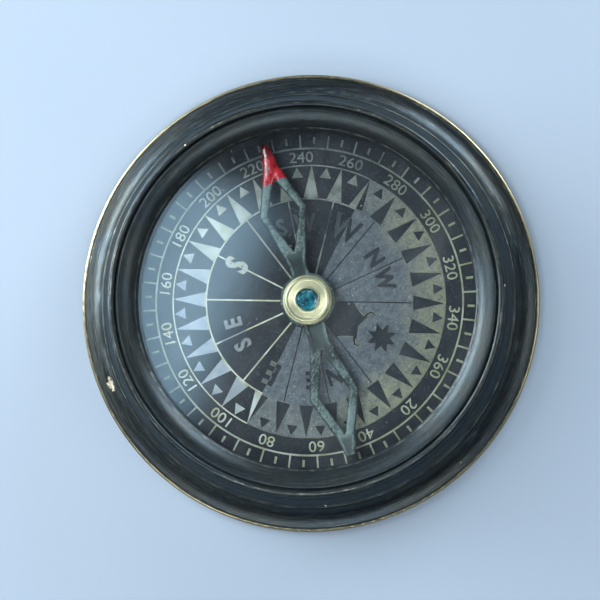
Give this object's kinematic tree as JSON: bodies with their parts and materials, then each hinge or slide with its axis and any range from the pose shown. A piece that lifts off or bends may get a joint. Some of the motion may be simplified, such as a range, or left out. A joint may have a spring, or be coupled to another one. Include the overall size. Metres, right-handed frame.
{
  "type": "open-face compass",
  "caption": "Round brass compass with a stepped bezel, flat glass, two-tone etched dial and an openwork needle on a jewelled cap.",
  "frame": {"origin": "centre of the resting face, on the dial's axis", "axes": "+Z out through the glass, square to the resting face; +Y from the pivot towards the N of the dial; +X towards the E"},
  "size_m": [0.0762, 0.0762, 0.0127],
  "materials": {
    "case_brass": "dark blue-green patina, turned, brass bare on the worn rim",
    "bezel_brass": "dark patina, turned marks, brighter on the worn crest",
    "screw_brass": "dull, slotted",
    "bright_brass": "turned, lightly polished",
    "dial_brass": "etched, half darkened",
    "spring_steel": "blackened",
    "pin_steel": "hardened, ground",
    "needle_steel": "blue-green weathered steel, north tip painted red",
    "crystal": "clear flat glass",
    "jewel_glass": "teal glass, polished",
    "gasket_rubber": "matt black",
    "washer_plastic": "thin, grey"
  },
  "bodies": {
    "root": {"base_plate": "case_brass", "base_plate_screws": "screw_brass", "case_ring": "case_brass", "dial_plate": "dial_brass", "dial_locating_pins": "bright_brass", "dial_clamp_ring": "spring_steel", "pivot_stud": "bright_brass", "pivot_pin": "pin_steel", "pivot_screw": "screw_brass"},
    "glass_pack": {"glass": "crystal", "glass_gasket": "gasket_rubber", "glass_slip_washer": "washer_plastic"},
    "bezel": {"bezel_ring": "bezel_brass", "glass_retaining_ring": "bezel_brass"},
    "needle": {"needle_frame": "needle_steel", "needle_cap": "bright_brass", "cap_jewel": "jewel_glass", "cap_collar": "bright_brass"}
  },
  "joints": [
    {"name": "needle_spin", "type": "hinge", "parent": "root", "child": "needle", "pos_m": [0, 0, 0.0069], "axis": [0, 0, 1], "continuous": true},
    {"name": "bezel_lift", "type": "slide", "parent": "root", "child": "glass_pack", "axis": [0, 0, 1], "range_m": [0, 0.00241]},
    {"name": "bezel_turn", "type": "hinge", "parent": "glass_pack", "child": "bezel", "pos_m": [0, 0, 0.0064], "axis": [0, 0, 1], "range_deg": [0, 1080]}
  ],
  "couplings": [
    {"joint": "bezel_lift", "follows": "bezel_turn", "m_per_rad": 0.00012732}
  ]
}
